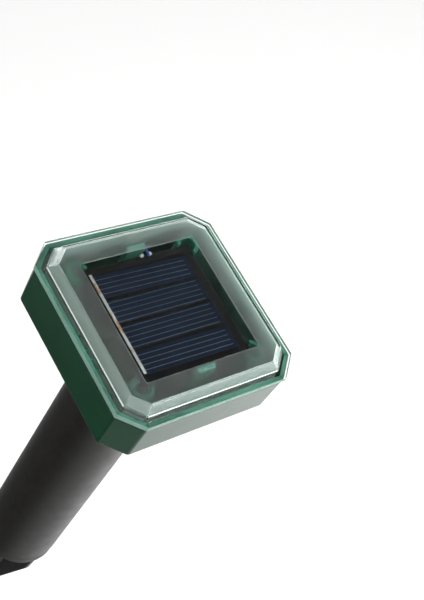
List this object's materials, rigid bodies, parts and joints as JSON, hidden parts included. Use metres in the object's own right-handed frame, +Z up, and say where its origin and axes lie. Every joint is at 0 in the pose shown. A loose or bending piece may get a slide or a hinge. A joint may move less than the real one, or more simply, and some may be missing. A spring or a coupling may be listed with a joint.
{
  "type": "solar ground-stake pest repeller",
  "caption": "Solar ground-stake repeller: octagonal head with a clear cover over a solar panel, on a round tube with a ribbed stake.",
  "frame": {"origin": "tip of the ground stake, on the tube's axis", "axes": "+Z up along the tube's axis, from the stake's tip to the head's clear cover; X and Y along the head's flat sides, with the power button on the -X side of the head's underside"},
  "size_m": [0.095, 0.095, 0.33],
  "materials": {
    "green_housing": "satin moulded",
    "clear_cover": "clear, frosted round the window",
    "black_rubber": "matt",
    "panel_board": "gloss resin",
    "solar_cell": "gloss",
    "tinned_ribbon": "satin",
    "white_glue": "satin",
    "blue_wire": "satin",
    "red_wire": "satin",
    "black_wire": "satin",
    "circuit_board": "satin solder mask",
    "black_component": "matt",
    "capacitor_sleeve": "gloss",
    "ferrite": "matt",
    "zinc_screw": "zinc plated",
    "white_plastic": "satin",
    "button_plastic": "satin",
    "black_plastic": "satin moulded",
    "battery_steel": "satin",
    "battery_sleeve": "gloss film",
    "contact_steel": "nickel plated",
    "speaker_steel": "zinc plated",
    "magnet": "nickel plated",
    "copper_coil": "enamelled copper",
    "film": "satin film",
    "tube_plastic": "satin",
    "stake_plastic": "satin"
  },
  "bodies": {
    "tube": {"tube": "tube_plastic", "stake": "stake_plastic"},
    "head": {"head_housing": "green_housing", "head_cover": "clear_cover", "cover_gasket": "black_rubber", "panel_board": "panel_board", "solar_cell_1": "solar_cell", "solar_cell_2": "solar_cell", "solar_cell_3": "solar_cell", "solar_cell_4": "solar_cell", "bus_ribbon": "tinned_ribbon", "glue_dabs": "white_glue", "panel_lead_blue": "blue_wire", "panel_lead_red": "red_wire", "circuit_board": "circuit_board", "control_chip": "black_component", "storage_capacitor": "capacitor_sleeve", "boost_inductor": "ferrite", "chip_resistors": "black_component", "board_screws": "zinc_screw", "switch_body": "black_component", "button_seal": "black_rubber", "head_collar": "black_plastic", "collar_screws": "zinc_screw", "collar_o_ring": "black_rubber", "battery_holder": "black_plastic", "battery_cell": "battery_steel", "battery_wrap": "battery_sleeve", "battery_spring": "contact_steel", "battery_plate": "contact_steel", "battery_leads": "red_wire", "speaker_cup": "black_plastic", "speaker_frame": "speaker_steel", "speaker_yoke": "speaker_steel", "speaker_magnet": "magnet", "speaker_pole": "speaker_steel", "speaker_grille": "black_plastic", "speaker_leads": "black_wire"},
    "button": {"power_button": "button_plastic", "switch_plunger": "white_plastic"},
    "coil": {"voice_coil": "copper_coil", "diaphragm": "film"}
  },
  "joints": [
    {"name": "head_twist", "type": "hinge", "parent": "tube", "child": "head", "pos_m": [0, 0, 0.29], "axis": [0, 0, 1], "range_deg": [0, 24]},
    {"name": "button_press", "type": "slide", "parent": "head", "child": "button", "axis": [0, 0, 1], "range_m": [0, 0.0015], "stiffness_N_per_m": 150, "springref_m": -0.004},
    {"name": "coil_travel", "type": "slide", "parent": "head", "child": "coil", "axis": [0, 0, 1], "range_m": [-0.0003, 0.0003], "stiffness_N_per_m": 60, "deforming": ["diaphragm"]}
  ]
}
